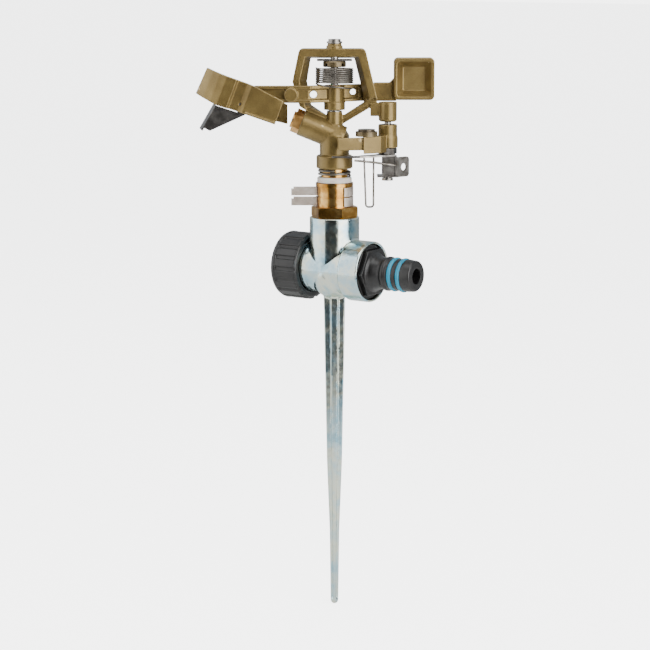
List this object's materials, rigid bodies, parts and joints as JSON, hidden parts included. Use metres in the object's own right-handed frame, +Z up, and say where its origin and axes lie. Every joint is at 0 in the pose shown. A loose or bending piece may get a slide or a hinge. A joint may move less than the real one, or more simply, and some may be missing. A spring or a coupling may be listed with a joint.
{
  "type": "impact sprinkler",
  "caption": "Impact sprinkler on a metal ground spike, with a swinging spring arm, a reversing trip with two limit collars, a quick hose spigot and a capped side outlet.",
  "frame": {"origin": "tip of the ground spike, on the spike's axis", "axes": "+Z up along the spike, +X along the hose spigot, out of its mouth; at rest the nozzle points 34 degrees past -X, at 214 degrees about +Z"},
  "size_m": [0.1111, 0.0827, 0.3016],
  "materials": {
    "spike_zinc": "bright zinc plate over cast iron",
    "connector_plastic": "moulded, satin",
    "o_ring_rubber": "moulded, blue",
    "flat_washer_rubber": "moulded",
    "cap_plastic": "moulded, satin, ribbed",
    "nipple_brass": "turned",
    "spring_steel_strip": "rolled strip",
    "tube_brass": "turned",
    "seal_plastic": "moulded",
    "bearing_plastic": "moulded, white",
    "spring_wire": "drawn wire",
    "casting_paint": "bronze paint over zinc casting",
    "nozzle_brass": "turned",
    "pin_steel": "turned",
    "cap_steel": "pressed, plated",
    "clip_steel": "pressed",
    "adjuster_dark": "dark cast",
    "arm_paint": "bronze paint over zinc casting",
    "bushing_plastic": "moulded",
    "washer_steel": "pressed",
    "deflector_steel": "rolled sheet",
    "rivet_steel": "headed",
    "nut_dark": "dark plated",
    "lever_paint": "bronze paint over zinc casting",
    "button_dark": "dark cast",
    "sheet_steel": "pressed sheet"
  },
  "bodies": {
    "base": {"spike_body": "spike_zinc", "hose_connector": "connector_plastic", "connector_o_rings": "o_ring_rubber", "connector_washer": "flat_washer_rubber", "bearing_nipple": "nipple_brass"},
    "cap": {"end_cap": "cap_plastic", "end_cap_washer": "flat_washer_rubber"},
    "lower_collar": {"lower_limit_collar": "spring_steel_strip"},
    "upper_collar": {"upper_limit_collar": "spring_steel_strip"},
    "head": {"sprinkler_body": "casting_paint", "swivel_tube": "tube_brass", "swivel_seal_ring": "seal_plastic", "swivel_washer": "flat_washer_rubber", "bearing_washer": "bearing_plastic", "bearing_spring": "spring_wire", "front_nozzle": "nozzle_brass", "fulcrum_pin": "pin_steel", "fulcrum_cap": "cap_steel", "spring_clip": "clip_steel", "spring_adjuster": "adjuster_dark", "trip_pin": "pin_steel", "trip_nut": "nut_dark"},
    "arm": {"impact_arm": "arm_paint", "arm_bushing": "bushing_plastic", "arm_washer": "washer_steel", "arm_spring": "spring_wire", "deflector_plate": "deflector_steel", "deflector_rivet": "rivet_steel"},
    "lever": {"trip_lever": "lever_paint", "trip_button": "button_dark"},
    "trip": {"trip_bracket": "sheet_steel", "trip_plate": "sheet_steel", "trip_wire": "spring_wire", "toggle_spring": "spring_wire"}
  },
  "joints": [
    {"name": "head_turn", "type": "hinge", "parent": "base", "child": "head", "pos_m": [0, 0, 0.228], "axis": [0, 0, 1], "range_deg": [-140, 180]},
    {"name": "arm_swing", "type": "hinge", "parent": "head", "child": "arm", "pos_m": [0, 0, 0.272], "axis": [0, 0, 1], "range_deg": [0, 100], "stiffness_Nm_per_rad": 0.02, "springref_deg": -34.38},
    {"name": "trip_wire_turn", "type": "hinge", "parent": "head", "child": "trip", "pos_m": [0.0228, 0.01538, 0.236], "axis": [0, 0, 1], "range_deg": [0, 20]},
    {"name": "trip_lever_flip", "type": "hinge", "parent": "head", "child": "lever", "pos_m": [0.0228, 0.01538, 0.25], "axis": [0, 0, 1], "range_deg": [-8, 0]},
    {"name": "lower_limit_turn", "type": "hinge", "parent": "base", "child": "lower_collar", "pos_m": [0, 0, 0.2182], "axis": [0, 0, 1], "range_deg": [-170, 130]},
    {"name": "upper_limit_turn", "type": "hinge", "parent": "base", "child": "upper_collar", "pos_m": [0, 0, 0.2234], "axis": [0, 0, 1], "range_deg": [-170, 130]},
    {"name": "end_cap_unscrew", "type": "slide", "parent": "base", "child": "cap", "axis": [-1, 0, 0], "range_m": [0, 0.0135]}
  ],
  "couplings": [
    {"joint": "trip_lever_flip", "follows": "trip_wire_turn", "ratio": -0.4}
  ]
}
